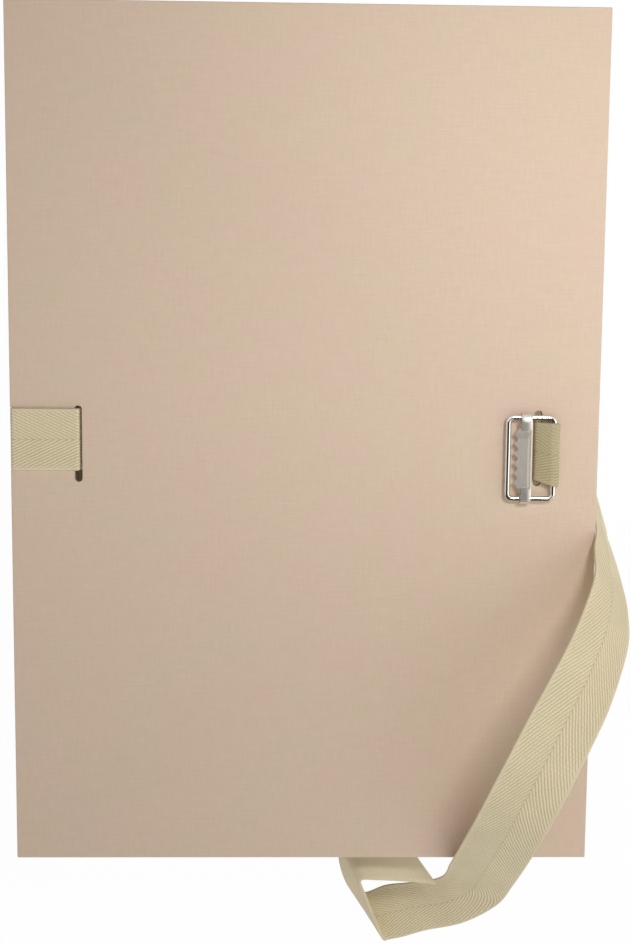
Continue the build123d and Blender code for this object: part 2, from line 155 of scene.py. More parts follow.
BAR_TOOTH_DEPTH = 0.0014
BAR_TOOTH_TIP = 0.0002  # half the flat at a tooth's tip
BAR_TOOTH_ROOT = 0.0003  # half the flat between two teeth
BAR_TOOTH_FADE = 1.6 * BAR_TOOTH_DEPTH  # from the tips to where the cuts leave the plate unchanged
BAR_END_ROUNDING = 1 / 30  # share by which the end rows draw in towards the plate's middle
BAR_BENDS = (0.001, 0.0006)  # radii between the slope, the flat and the lip
BAR_CHAMFER = 0.0001
BAR_TIP_X = BUCKLE_X - 0.0067
BAR_FLAT_X = BUCKLE_X - 0.0016
BAR_LIP_X = BUCKLE_X - 0.0002
BAR_TAB_WIDTH = 0.0041
BAR_TAB_CHAMFER = 0.00012
BAR_TAB_SIDE = 0.86  # share of the thickness left at the rolled ends' sides
BAR_TIP_Z = COVER_TOP + 0.0034
BAR_FLAT_Z = COVER_TOP + 0.00535
BAR_LIP_Z = COVER_TOP + 0.0061
BAR_DIP = 0.0007  # the toothed plate bends down this much from its rolled end at the top
BAR_DIP_START = 0.0012  # from the plate's top end
BAR_DIP_LENGTH = 0.0030

# Loose end of the strap: a point of the left selvedge and one of the right, with X from the fore-edge
LOOSE_SELVEDGES = [
    ((0.0024, -0.0136, 0.0048), (0.0090, -0.0364, 0.0022)),
    ((0.0007, -0.0215, 0.0150), (0.0110, -0.0429, 0.0052)),
    ((0.0005, -0.0330, 0.0280), (0.0124, -0.0502, 0.0125)),
    ((-0.0016, -0.0405, 0.0345), (0.0132, -0.0588, 0.0230)),
    ((-0.0036, -0.0495, 0.0450), (0.0125, -0.0670, 0.0360)),
    ((-0.0095, -0.0595, 0.0560), (0.0098, -0.0770, 0.0500)),
    ((-0.0175, -0.0720, 0.0660), (0.0036, -0.0886, 0.0620)),
    ((-0.0273, -0.0850, 0.0760), (-0.0036, -0.0994, 0.0730)),
    ((-0.0355, -0.0984, 0.0800), (-0.0109, -0.1117, 0.0785)),
    ((-0.0429, -0.1130, 0.0810), (-0.0174, -0.1254, 0.0795)),
    ((-0.0488, -0.1286, 0.0760), (-0.0225, -0.1395, 0.0750)),
    ((-0.0529, -0.1441, 0.0660), (-0.0260, -0.1545, 0.0645)),
    ((-0.0558, -0.1600, 0.0510), (-0.0279, -0.1692, 0.0490)),
    ((-0.0577, -0.1753, 0.0330), (-0.0300, -0.1865, 0.0295)),
    ((-0.0583, -0.1886, 0.0150), (-0.0340, -0.2045, 0.0105)),
    ((-0.0640, -0.1946, 0.0065), (-0.0477, -0.2157, 0.0035)),
    ((-0.0730, -0.1972, 0.0030), (-0.0643, -0.2201, 0.0018)),
    ((-0.0822, -0.1988, 0.0016), (-0.0741, -0.2233, 0.0012)),
    ((-0.0904, -0.2021, 0.0014), (-0.0807, -0.2245, 0.0016)),
    ((-0.0951, -0.2022, 0.0016), (-0.0826, -0.2238, 0.0040)),
    ((-0.0989, -0.1987, 0.0022), (-0.0847, -0.2179, 0.0090)),
    ((-0.1018, -0.1917, 0.0035), (-0.0883, -0.2077, 0.0150)),
    ((-0.1035, -0.1837, 0.0060), (-0.0920, -0.1970, 0.0195)),
    ((-0.1042, -0.1752, 0.0090), (-0.0946, -0.1887, 0.0215)),
    ((-0.0987, -0.1658, 0.0120), (-0.0877, -0.1886, 0.0205)),
    ((-0.0900, -0.1630, 0.0135), (-0.0745, -0.1903, 0.0182)),
    ((-0.0828, -0.1625, 0.0145), (-0.0613, -0.1921, 0.0170)),
]

# Camera, close over the cover's upper half
CAMERA_PLACE = (-0.00957, 0.05208, COVER_TOP + 0.54858)
CAMERA_TURN = (-0.1147, -0.0237, 0.0092)
CAMERA_LENS = 51.43

# Light
KEY_PLACE = (0.179, 0.18, 0.426)
KEY_SIZE = 0.11
KEY_POWER = 0.97
SIDE_PLACE = (0.50, 0.0, 0.30)
SIDE_SIZE = 0.40
SIDE_POWER = 0.54
SKY_FRONT = -0.70  # Y of the directions where the light from all round is brightest
SKY_BACK = 0.70  # and where it ends
RIGHT_WALL = (0.30, 0.50)  # X of the directions where the white that shiny metal mirrors begins and is full
LEFT_WALL = (-0.80, -0.94)
BACK_WALL = (0.05, 0.25)  # the same in Y
ROOM_TONE = (0.05, 0.045, 0.04, 1)  # what it mirrors between these walls

# Floor
FLOOR_HALF = 3.0
FLOOR_DROP = 0.0002  # below the strap that the folder lies on
FLOOR_TONE = 0.93
FLOOR_WHITE = 0.97  # share of plain white in the floor, the rest keeps its shadows


def make_camera():
    """The photograph's view."""
    data = bpy.data.cameras.new("camera")
    data.lens = CAMERA_LENS
    camera = bpy.data.objects.new("camera", data)
    camera.location = CAMERA_PLACE
    camera.rotation_euler = CAMERA_TURN
    bpy.context.scene.collection.objects.link(camera)
    bpy.context.scene.camera = camera


def make_light(name, place, size, power, shadows):
    """A square soft box aimed at the folder's middle, which may cast no shadows."""
    data = bpy.data.lights.new(name, "AREA")
    data.size = size
    data.energy = power
    data.use_shadow = shadows
    light = bpy.data.objects.new(name, data)
    light.location = place
    light.rotation_euler = (-Vector(place)).to_track_quat("-Z", "Y").to_euler()
    bpy.context.scene.collection.objects.link(light)


def make_world():
    """A white backdrop, light from all round that comes mostly from the bottom edge's side, and for shiny
    metal a room that is dark overhead."""
    world = bpy.data.worlds.new("studio")
    world.use_nodes = True
    tree = world.node_tree
    background = tree.nodes["Background"]
    path = tree.nodes.new("ShaderNodeLightPath")

    def larger(a, b):
        node = tree.nodes.new("ShaderNodeMath")
        node.operation = "MAXIMUM"
        tree.links.new(a, node.inputs[0])
        tree.links.new(b, node.inputs[1])
        return node.outputs[0]

    seen = larger(path.outputs["Is Camera Ray"], path.outputs["Is Transmission Ray"])
    direction = tree.nodes.new("ShaderNodeTexCoord")
    parts = tree.nodes.new("ShaderNodeSeparateXYZ")
    tree.links.new(direction.outputs["Generated"], parts.inputs[0])

    def ramp(value, dark, bright):
        node = tree.nodes.new("ShaderNodeMapRange")
        node.interpolation_type = "SMOOTHSTEP"
        node.inputs["From Min"].default_value = dark
        node.inputs["From Max"].default_value = bright
        tree.links.new(value, node.inputs["Value"])
        return node.outputs[0]

    sky = ramp(parts.outputs["Y"], SKY_BACK, SKY_FRONT)
    strength = larger(larger(seen, path.outputs["Is Glossy Ray"]), sky)
    tree.links.new(strength, background.inputs["Strength"])
    right = ramp(parts.outputs["X"], *RIGHT_WALL)
    left = ramp(parts.outputs["X"], *LEFT_WALL)
    back = ramp(parts.outputs["Y"], *BACK_WALL)
    matte = tree.nodes.new("ShaderNodeMath")
    matte.operation = "SUBTRACT"
    matte.inputs[0].default_value = 1.0
    tree.links.new(path.outputs["Is Glossy Ray"], matte.inputs[1])
    shade = tree.nodes.new("ShaderNodeMix")
    shade.data_type = "RGBA"
    shade.inputs["A"].default_value = ROOM_TONE
    shade.inputs["B"].default_value = (1, 1, 1, 1)
    lit = larger(larger(left, right), back)
    tree.links.new(larger(larger(seen, matte.outputs[0]), lit), shade.inputs["Factor"])
    tree.links.new(shade.outputs["Result"], background.inputs["Color"])
    bpy.context.scene.world = world


def make_floor():
    """White table top that keeps a faint shadow."""
    floor = bpy.data.objects.new("floor", bpy.data.meshes.new("floor"))
    corners = [(sx * FLOOR_HALF, sy * FLOOR_HALF, 0) for sx, sy in ((-1, -1), (1, -1), (1, 1), (-1, 1))]
    floor.data.from_pydata(corners, [], [(0, 1, 2, 3)])
    floor.location = (0, 0, -FLOOR_DROP)
    bpy.context.scene.collection.objects.link(floor)
    material = bpy.data.materials.new("floor")
    material.use_nodes = True
    tree = material.node_tree
    tree.nodes.clear()
    out = tree.nodes.new("ShaderNodeOutputMaterial")
    diffuse = tree.nodes.new("ShaderNodeBsdfDiffuse")
    diffuse.inputs["Color"].default_value = (FLOOR_TONE, FLOOR_TONE, FLOOR_TONE, 1)
    white = tree.nodes.new("ShaderNodeEmission")
    path = tree.nodes.new("ShaderNodeLightPath")
    share = tree.nodes.new("ShaderNodeMath")
    share.operation = "MULTIPLY"
    share.inputs[1].default_value = FLOOR_WHITE
    mix = tree.nodes.new("ShaderNodeMixShader")
    tree.links.new(path.outputs["Is Camera Ray"], share.inputs[0])
    tree.links.new(share.outputs[0], mix.inputs[0])
    tree.links.new(diffuse.outputs[0], mix.inputs[1])
    tree.links.new(white.outputs[0], mix.inputs[2])
    tree.links.new(mix.outputs[0], out.inputs[0])
    floor.data.materials.append(material)


def srgb(r, g, b):
    """Linear colour from 0-255 display values."""
    def line(v):
        v /= 255
        return v / 12.92 if v <= 0.04045 else ((v + 0.055) / 1.055) ** 2.4
    return (line(r), line(g), line(b), 1.0)


class Shader:
    """A Principled material with short calls for the nodes that feed it."""

    def __init__(self, name, roughness, metallic=0.0, specular=0.5):
        self.material = bpy.data.materials.new(name)
        self.material.use_nodes = True
        self.tree = self.material.node_tree
        self.bsdf = self.tree.nodes["Principled BSDF"]
        self.bsdf.inputs["Roughness"].default_value = roughness
        self.bsdf.inputs["Metallic"].default_value = metallic
        self.bsdf.inputs["Specular IOR Level"].default_value = specular
        self.place = self.tree.nodes.new("ShaderNodeTexCoord").outputs["Object"]

    def link(self, value, socket):
        if isinstance(value, bpy.types.NodeSocket):
            self.tree.links.new(value, socket)
        else:
            socket.default_value = value

    def stretched(self, x, y, z):
        """Coordinates for a texture with these counts per metre."""
        node = self.tree.nodes.new("ShaderNodeMapping")
        node.inputs["Scale"].default_value = (x, y, z)
        self.link(self.place, node.inputs["Vector"])
        return node.outputs[0]

    def noise(self, vector, scale, detail=2.0, roughness=0.5):
        node = self.tree.nodes.new("ShaderNodeTexNoise")
        node.inputs["Scale"].default_value = scale
        node.inputs["Detail"].default_value = detail
        node.inputs["Roughness"].default_value = roughness
        self.link(vector, node.inputs["Vector"])
        return node.outputs["Fac"]

    def threads(self, direction, per_metre, wander):
        """Fine parallel threads across a direction."""
        node = self.tree.nodes.new("ShaderNodeTexWave")
        node.bands_direction = direction
        node.inputs["Scale"].default_value = per_metre * math.pi / 10  # its bands are 10 / pi per unit
        node.inputs["Distortion"].default_value = wander
        self.link(self.place, node.inputs["Vector"])
        return node.outputs["Fac"]

    def attribute(self, name):
        node = self.tree.nodes.new("ShaderNodeAttribute")
        node.attribute_name = name
        return node.outputs["Fac"]

    def math(self, operation, a, b):
        node = self.tree.nodes.new("ShaderNodeMath")
        node.operation = operation
        self.link(a, node.inputs[0])
        self.link(b, node.inputs[1])
        return node.outputs[0]

    def remap(self, value, to_low, to_high, low=0.3, high=0.7):
        """A value's range, by default what a noise usually covers, stretched to another."""
        node = self.tree.nodes.new("ShaderNodeMapRange")
        for key, v in (("From Min", low), ("From Max", high), ("To Min", to_low), ("To Max", to_high)):
            node.inputs[key].default_value = v
        self.link(value, node.inputs["Value"])
        return node.outputs[0]

    def mix(self, factor, a, b, blend="MIX"):
        node = self.tree.nodes.new("ShaderNodeMix")
        node.data_type = "RGBA"
        node.blend_type = blend
        self.link(factor, node.inputs["Factor"])
        self.link(a, node.inputs["A"])
        self.link(b, node.inputs["B"])
        return node.outputs["Result"]

    def shaded(self, colour, *tones):
        """A colour times the product of some tones around 1."""
        tone = tones[0]
        for other in tones[1:]:
            tone = self.math("MULTIPLY", tone, other)
        grey = self.tree.nodes.new("ShaderNodeCombineColor")
        for socket in grey.inputs[:3]:
            self.link(tone, socket)
        self.link(self.mix(1.0, colour, grey.outputs[0], "MULTIPLY"), self.bsdf.inputs["Base Color"])

    def bump(self, height, distance, strength):
        node = self.tree.nodes.new("ShaderNodeBump")
        node.inputs["Strength"].default_value = strength
        node.inputs["Distance"].default_value = distance
        self.link(height, node.inputs["Height"])
        self.link(node.outputs[0], self.bsdf.inputs["Normal"])


def linen_paper(name, light, dark):
    """Paper embossed like fine linen: crossed threads with slubs, and faint clouds of tone. The hollows
    between the threads are painted a little darker, as shade.
    """
    s = Shader(name, 0.62, specular=0.28)
    upright = s.threads("X", LINEN_THREADS[0], 1.2)
    level = s.threads("Y", LINEN_THREADS[1], 1.4)
    weave = s.math("MULTIPLY", upright, level)
    long_slubs = s.noise(s.stretched(*LONG_SLUBS), 1.0, 3.0, 0.6)
    tall_slubs = s.noise(s.stretched(*TALL_SLUBS), 1.0, 3.0, 0.6)
    clouds = s.noise(s.place, 42.0, 3.0, 0.6)
    base = s.mix(s.remap(clouds, 0.0, 1.0), dark, light)
    streaks = s.remap(long_slubs, 0.966, 1.034, 0.25, 0.75)
    columns = s.remap(tall_slubs, 0.968, 1.032, 0.25, 0.75)
    # painted shade: the weave's hollows a little darker
    s.shaded(base, streaks, columns, s.remap(weave, 0.975, 1.02, 0.0, 1.0))
    relief = s.math("ADD", s.math("MULTIPLY", weave, 0.5), s.math("MULTIPLY", long_slubs, 0.8))
    relief = s.math("ADD", relief, s.math("MULTIPLY", tall_slubs, 0.5))
    s.bump(relief, LINEN_RELIEF, 0.8)
    return s.material


def plain_paper(name, tone, spots):
    """Smooth uncoated paper or board; spots is the share by which its fibre varies the tone."""
    s = Shader(name, 0.7, specular=0.22)
    fibre = s.noise(s.place, 900.0, 4.0, 0.6)
    clouds = s.noise(s.place, 22.0, 2.0)
    s.shaded(tone, s.remap(fibre, 1 - spots, 1 + spots), s.remap(clouds, 0.98, 1.02))
    s.bump(fibre, 0.00003, 0.6)
    return s.material


def book_cloth(name, tone):
    """Thin woven cloth for the folds, with the hollows between its threads painted darker, as shade."""
    s = Shader(name, 0.8, specular=0.15)
    weave = s.math("MULTIPLY", s.threads("Z", 2200, 0.8), s.threads("Y", 2200, 0.8))
    # painted shade: the weave's hollows darker
    s.shaded(tone, s.remap(weave, 0.86, 1.06, 0.0, 1.0))
    s.bump(weave, 0.00012, 0.8)
    return s.material


def cotton_webbing():
    """Herringbone webbing. The ribs are in the mesh, the fuzz is here. Its colour is painted darker in the
    grooves, as shade, and the buckle loop outside the cover gets a darker painted shade.
    """
    s = Shader("webbing", 0.82, specular=0.18)
    s.bsdf.inputs["Sheen Weight"].default_value = 0.12
    s.bsdf.inputs["Sheen Roughness"].default_value = 0.5
    fuzz = s.noise(s.place, 1500.0, 4.0, 0.65)
    clouds = s.noise(s.place, 70.0, 2.0)
    # painted shade in the grooves: the colour goes from the darker groove tone to the rib tone with the rib
    # height
    webbing_colour = s.mix(s.attribute("rib"), srgb(190, 174, 135), srgb(237, 224, 194))
    # painted shade on the buckle loop: the same webbing colours, darkened, mixed in by the loop's shade
    # value
    painted_shade = s.mix(s.attribute("rib"), srgb(163, 149, 112), srgb(197, 185, 152))
    colour = s.mix(s.attribute("loop_shade"), webbing_colour, painted_shade)
    s.shaded(colour, s.remap(fuzz, 0.95, 1.05), s.remap(clouds, 0.97, 1.03))
    s.bump(fuzz, 0.00008, 0.7)
    return s.material


def nickel(name, dark, light, roughness, spread, grain, metallic):
    """Nickel plate with drawing marks along Y. Spread is how far the roughness varies, and grain is the
    marks' count per metre along and across."""
    s = Shader(name, roughness, metallic)
    marks = s.noise(s.stretched(grain[1], grain[0], grain[1]), 1.0, 3.0)
    s.link(s.mix(s.remap(marks, 0.0, 1.0), (*dark, 1), (*light, 1)), s.bsdf.inputs["Base Color"])
    s.link(s.remap(marks, roughness - spread, roughness + spread), s.bsdf.inputs["Roughness"])
    s.bump(marks, 0.000004, 0.4)
    return s.material


def unit(v):
    """Each row scaled to length one."""
    return v / np.maximum(np.linalg.norm(v, axis=-1, keepdims=True), 1e-12)


def eased(share):
    """A share, held from 0 to 1, that sets off and arrives gently."""
    share = np.clip(share, 0, 1)
    return share * share * (3 - 2 * share)


def spline(points, step):
    """Points along a smooth curve through these, about one step apart."""
    points = np.array(points, float)
    before = np.vstack([2 * points[0] - points[1], points[:-1]])
    after = np.vstack([points[1:], 2 * points[-1] - points[-2]])
    out = []
    for i in range(len(points) - 1):
        p0, p1, p2, p3 = before[i], points[i], points[i + 1], after[i + 1]
        count = max(2, int(np.linalg.norm(p2 - p1) / step))
        t = np.arange(count)[:, None] / count
        cubic = 3 * p1 - p0 - 3 * p2 + p3
        square = 2 * p0 - 5 * p1 + 4 * p2 - p3
        out.append(0.5 * (2 * p1 + (p2 - p0) * t + square * t**2 + cubic * t**3))
    out.append(points[-1:])
    return np.vstack(out)


def rounded(points, radii, step):
    """Points along straight runs joined by arcs, in a plane."""
    points = [np.array(p, float) for p in points]
    out = [points[0]]
    for radius, corner, after in zip(radii, points[1:], points[2:]):
        before = out[-1]
        a = unit(before - corner)
        b = unit(after - corner)
        half_turn = math.acos(float(np.clip(a @ b, -1, 1))) / 2
        reach = radius / math.tan(half_turn)
        centre = corner + unit(a + b) * radius / math.sin(half_turn)
        u = corner + a * reach - centre
        v = corner + b * reach - centre
        sweep = math.pi - 2 * half_turn
        count = max(8, int(radius * sweep / step))
        for t in np.linspace(0, 1, count + 1):
            out.append(centre + (u * math.sin((1 - t) * sweep) + v * math.sin(t * sweep)) / math.sin(sweep))
    out.append(points[-1])
    fine = [out[0]]
    for p, q in zip(out, out[1:]):
        length = np.linalg.norm(q - p)
        if length < 1e-6:
            continue
        count = max(1, round(length / step))
        fine += [p + (q - p) * (i + 1) / count for i in range(count)]
    return np.array(fine)


def make_piece(name, vertices, faces, material, smooth=180):
    """A mesh piece, smooth where its faces meet at less than an angle."""
    mesh = bpy.data.meshes.new(name)
    mesh.from_pydata([tuple(v) for v in vertices], [], [tuple(f) for f in faces])
    mesh.polygons.foreach_set("use_smooth", [True] * len(mesh.polygons))
    if smooth < 180:
        mesh.set_sharp_from_angle(angle=math.radians(smooth))
    mesh.materials.append(material)
    mesh.update()
    piece = bpy.data.objects.new(name, mesh)
    bpy.context.scene.collection.objects.link(piece)
    return piece


def skin_faces(rows, columns):
    """Faces of a tube whose rings are its rows, closed at both ends."""
    faces = []
    for r in range(rows - 1):
        for c in range(columns):
            d = (c + 1) % columns
            faces.append((r * columns + c, r * columns + d, (r + 1) * columns + d, (r + 1) * columns + c))
    last = (rows - 1) * columns
    faces.append(tuple(reversed(range(columns))))
    faces.append(tuple(range(last, last + columns)))
    return faces


def rib_height(along, across):
    """Height of the herringbone at places on the strap, from 0 in a groove to 1 on a rib."""
    wobble = sum(RIB_WOBBLE * np.sin(along * a + across * b) for a, b in WOBBLE_WAVES)
    phase = (along - np.abs(across) / math.tan(RIB_ANGLE)) / RIB_PITCH + wobble
    rib = (0.5 + 0.5 * np.cos(2 * np.pi * phase)) ** RIB_POWER
    stagger = np.floor(phase) / 2
    bead = 1 - BEAD_DEPTH + BEAD_DEPTH * np.cos(2 * np.pi * (np.abs(across) / BEAD_PITCH + stagger))
    seam = 1 - SEAM_DEPTH * np.exp(-((across / SEAM_REACH) ** 2))
    inside = eased((STRAP_WIDTH / 2 - np.abs(across) - BARE_EDGE) / SELVEDGE)
    plain = PLAIN_HEIGHT + PLAIN_RIPPLE * np.sin(2 * np.pi * along / PLAIN_PITCH)
    return plain * (1 - inside) + rib * bead * seam * inside


def mark(piece, name, values):
    """Gives each point of a piece a value that its material reads."""
    attribute = piece.data.attributes.new(name, "FLOAT", "POINT")
    attribute.data.foreach_set("value", values.astype(np.float32))


def webbing(name, node, left, right, start, material):
    """Ribbed webbing between two selvedges, in place of a CAD node.
    start is how far along the strap its first edge lies; the ribbed face is on the side that a right-hand
    screw moves to when it turns from the strap's travel to the way from left to right."""
    left, right = np.asarray(left, float), np.asarray(right, float)
    middle = (left + right) / 2
    travelled = np.concatenate([[0], np.cumsum(np.linalg.norm(np.diff(middle, axis=0), axis=1))])
    tangent = unit(np.gradient(middle, travelled, axis=0))
    normal = unit(np.cross(tangent, right - left))
    square = unit(np.cross(normal, tangent))
    half_width = np.abs(np.sum((right - left) * square, axis=1)) / 2
    lines = []
    heights = []

    def add_line(share, ribbed):
        offset = (right - left) * (share - 0.5)
        along = start + travelled + np.sum(offset * tangent, axis=1)
        across = np.sum(offset * square, axis=1) / half_width * STRAP_WIDTH / 2
        edge = min(1.0, min(share, 1 - share) * STRAP_WIDTH / ROUNDED_EDGE)
        crown = EDGE_THICKNESS + (1 - EDGE_THICKNESS) * math.sqrt(1 - (1 - edge) ** 2)
        depth = STRAP_THICKNESS / 2 * crown
        if ribbed:
            height = rib_height(along, across)
            lift = depth - RIB_HEIGHT * (1 - height)
        else:
            ripple = np.sin(2 * np.pi * along / UNDER_PITCH + across * UNDER_SLANT)
            height = UNDER_HEIGHT + UNDER_RIPPLE * ripple
            lift = -depth + UNDER_RELIEF * height
        lines.append(middle + offset + normal * np.reshape(lift, (-1, 1)))
        heights.append(height)

    for share in np.linspace(FACE_INSET, 1 - FACE_INSET, int(STRAP_WIDTH / ACROSS_STEP)):
        add_line(share, True)
    lines.append(right)
    heights.append(np.full(len(left), EDGE_HEIGHT))
    for share in np.linspace(1 - UNDER_INSET, UNDER_INSET, UNDER_POINTS):
        add_line(share, False)
    lines.append(left)
    heights.append(np.full(len(left), EDGE_HEIGHT))
    grid = np.stack(lines, axis=1)
    faces = skin_faces(*grid.shape[:2])
    piece = make_piece(name, grid.reshape(-1, 3), faces, material, smooth=75)
    # the heights also paint the grooves darker, as shade
    mark(piece, "rib", np.stack(heights, axis=1).ravel())
    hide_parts(node)
    return piece, start + travelled[-1]


def flat_selvedges(points, radii, y):
    """Left and right selvedges of strap that follows a path in the XZ plane."""
    line = rounded(points, radii, ALONG_STEP)
    middle = np.stack([line[:, 0], np.full(len(line), y), line[:, 1]], axis=1)
    half = np.array([0, STRAP_WIDTH / 2, 0])
    return middle + half, middle - half


def slanted_selvedges(x_from, y_from, x_to, y_to, z):
    """Left and right selvedges of flat strap that runs aslant, cut square to X."""
    share = np.linspace(0, 1, int(abs(x_to - x_from) / ALONG_STEP) + 1)
    x = x_from + (x_to - x_from) * share
    y = y_from + (y_to - y_from) * share
    middle = np.stack([x, y, np.full(len(share), z)], axis=1)
    slope = (y_to - y_from) / (x_to - x_from)
    half = np.array([0, STRAP_WIDTH / 2 * math.sqrt(1 + slope**2), 0])
    return middle + half, middle - half


def loose_selvedges():
    """Selvedges of the loose end, from the fore-edge to the cut."""
    edge = np.array([FORE_EDGE_X, 0, 0])
    start = np.array([FORE_EDGE_X, STRAP_EXIT_Y, FLOOR_STRAP_Z])
    half = np.array([0, STRAP_WIDTH / 2, 0])
    left = [start + half] + [np.array(pair[0]) + edge for pair in LOOSE_SELVEDGES]
    right = [start - half] + [np.array(pair[1]) + edge for pair in LOOSE_SELVEDGES]
    both = spline(np.hstack([left, right]), 2**0.5 * ALONG_STEP)
    return both[:, :3], both[:, 3:]


def buckle_loop_path():
    """From the sewn end inside the cover, out through the slot, round the wire and back in."""
    up = BUCKLE_SLOT[0] - SLOT_WIDTH / 2 + STRAP_BEND
    down = BUCKLE_SLOT[0] + SLOT_WIDTH / 2 - STRAP_BEND
    fold_x = HINGE_WIRE_X + LOOP_REACH
    top = WIRE_Z + LOOP_REACH
    low = WIRE_Z - LOOP_REACH
    points = [
        (down + STRAP_TAB_LENGTH, INNER_STRAP_Z),
        (down, INNER_STRAP_Z),
        (down, low),
        (fold_x, low),
        (fold_x, top),
        (LOOP_CREST_X, top),
        (up - LOOP_BULGE, LOOP_BULGE_Z),
        (up, LOOP_SLOT_Z),
        (up, INNER_STRAP_Z),
        (LOOP_SEAM_X, INNER_STRAP_Z),
    ]
    wrap = LOOP_REACH - 0.0001  # two quarter turns with a short straight run between them
    return points, (STRAP_BEND,) * 2 + (wrap,) * 2 + (STRAP_BEND,) * 4


def lean_loop(left, right):
    """Outside the cover the loop is gathered at the slot and leans towards the bottom edge at the wire."""
    near = BUCKLE_SLOT[0] - SLOT_WIDTH / 2 + STRAP_BEND
    for side, (at_slot, at_wire) in ((left, LOOP_LEFT_SHIFT), (right, LOOP_RIGHT_SHIFT)):
        share = np.clip((side[:, 0] - near) / (HINGE_WIRE_X - near), 0, 1)
        outside = np.clip((side[:, 2] - INNER_STRAP_Z) / (COVER_TOP - INNER_STRAP_Z), 0, 1)
        lower = np.clip((WIRE_Z - side[:, 2]) / LOOP_REACH, 0, 1)
        side[:, 1] += outside * (at_slot + (at_wire - at_slot) * share - LOOP_STAGGER * share * lower)
    return left, right


def mark_loop_shade(loop):
    """Paints shade on the loop: full from the cover's top face up, where the loop stands at the buckle,
    fading to none at the cover's underside.
    """
    heights = np.array([v.co.z for v in loop.data.vertices])
    mark(loop, "loop_shade", np.clip((heights - COVER_UNDER) / (COVER_TOP - COVER_UNDER), 0, 1))


def make_strap(web):
    """The strap from its sewn end at the buckle to its loose cut end, stretch by stretch."""
    far = 0.0
    points, radii = buckle_loop_path()
    sides = lean_loop(*flat_selvedges(points, radii, STRAP_BUCKLE_Y))
    loop, far = webbing("buckle_loop", "strap_buckle_loop", *sides, far, web)
    # painted shade on the loop outside the cover
    mark_loop_shade(loop)
    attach(loop, "front_cover")

    sides = slanted_selvedges(LOOP_SEAM_X, STRAP_BUCKLE_Y, FRONT_SEAM_X, STRAP_FRONT_Y, INNER_STRAP_Z)
    inner, far = webbing("inner_strap", "strap_inner_run", *sides, far, web)
    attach(inner, "front_cover")

    points = [
        (FRONT_SEAM_X, INNER_STRAP_Z),
        (SPINE_SLOT[0], INNER_STRAP_Z),
        (SPINE_SLOT[0], TOP_STRAP_Z),
        (STRAP_SEAM_X, TOP_STRAP_Z),
    ]
    sides = flat_selvedges(points, (STRAP_BEND, STRAP_BEND), STRAP_FRONT_Y)
    front, far = webbing("front_strap", "strap_front_run", *sides, far, web)
    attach(front, "front_cover")

    points = [
        (STRAP_SEAM_X, TOP_STRAP_Z),
        (STRAP_SPINE_X, TOP_STRAP_Z),
        (STRAP_SPINE_X, STRAP_SPLIT_Z),
    ]
    sides = flat_selvedges(points, (STRAP_SPINE_BEND,), STRAP_FRONT_Y)
    bend, far = webbing("spine_edge_strap", "strap_spine_bend", *sides, far, web)
    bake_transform(bend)

    points = [
        (STRAP_SPINE_X, STRAP_SPLIT_Z),
        (STRAP_SPINE_X, FLOOR_STRAP_Z),
        (STRAP_SEAM_X, FLOOR_STRAP_Z),
    ]
    sides = flat_selvedges(points, (STRAP_SPINE_BEND,), STRAP_FRONT_Y)
    spine, far = webbing("spine_strap", "strap_spine_run", *sides, far, web)
    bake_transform(spine)

    sides = slanted_selvedges(STRAP_SEAM_X, STRAP_FRONT_Y, FORE_EDGE_X, STRAP_EXIT_Y, FLOOR_STRAP_Z)
    back, far = webbing("back_strap", "strap_back_run", *sides, far, web)
    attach(back, "root")

    loose, end = webbing("loose_strap", "strap_loose_end", *loose_selvedges(), far, web)
    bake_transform(loose)


def make_frame(material):
    """The buckle's wire, bent to a rectangle with rounded corners."""
    sides = 24
    per_corner = 10
    vertices = []
    rings = 0
    half_x = BUCKLE_WIDTH / 2 - WIRE_RADIUS - BUCKLE_CORNER
    half_y = END_WIRE_REACH - BUCKLE_CORNER
    for quarter, (sx, sy) in enumerate(((1, 1), (-1, 1), (-1, -1), (1, -1))):
        for k in range(per_corner + 1):
            a = math.radians(90 * (quarter + k / per_corner))
            rings += 1
            for side in range(sides):
                b = 2 * math.pi * side / sides
                reach = BUCKLE_CORNER + WIRE_RADIUS * math.cos(b)
                x = BUCKLE_X + sx * half_x + reach * math.cos(a)
                y = BUCKLE_Y + sy * half_y + reach * math.sin(a)
                vertices.append((x, y, WIRE_Z + WIRE_RADIUS * math.sin(b)))
    faces = []
    for ring in range(rings):
        for side in range(sides):
            a, b = ring * sides, (ring + 1) % rings * sides
            c, d = side, (side + 1) % sides
            faces.append((a + c, b + c, b + d, a + d))
    wire = make_piece("buckle_wire", vertices, faces, material)
    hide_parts("buckle_frame")
    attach(wire, "buckle_frame")


def band(line, thickness):
    """Outline round a line in a plane, with chamfered ends."""
    tangent = unit(np.gradient(line, axis=0))
    off = np.stack([-tangent[:, 1], tangent[:, 0]], axis=1) * thickness / 2
    narrow = 0.7 * off
    start = line[0] - tangent[0] * BAR_CHAMFER
    end = line[-1] + tangent[-1] * BAR_CHAMFER
    first = [start - narrow[0], start + narrow[0]]
    last = [end + narrow[-1], end - narrow[-1]]
    return np.vstack([first, line + off, last, (line - off)[::-1]])


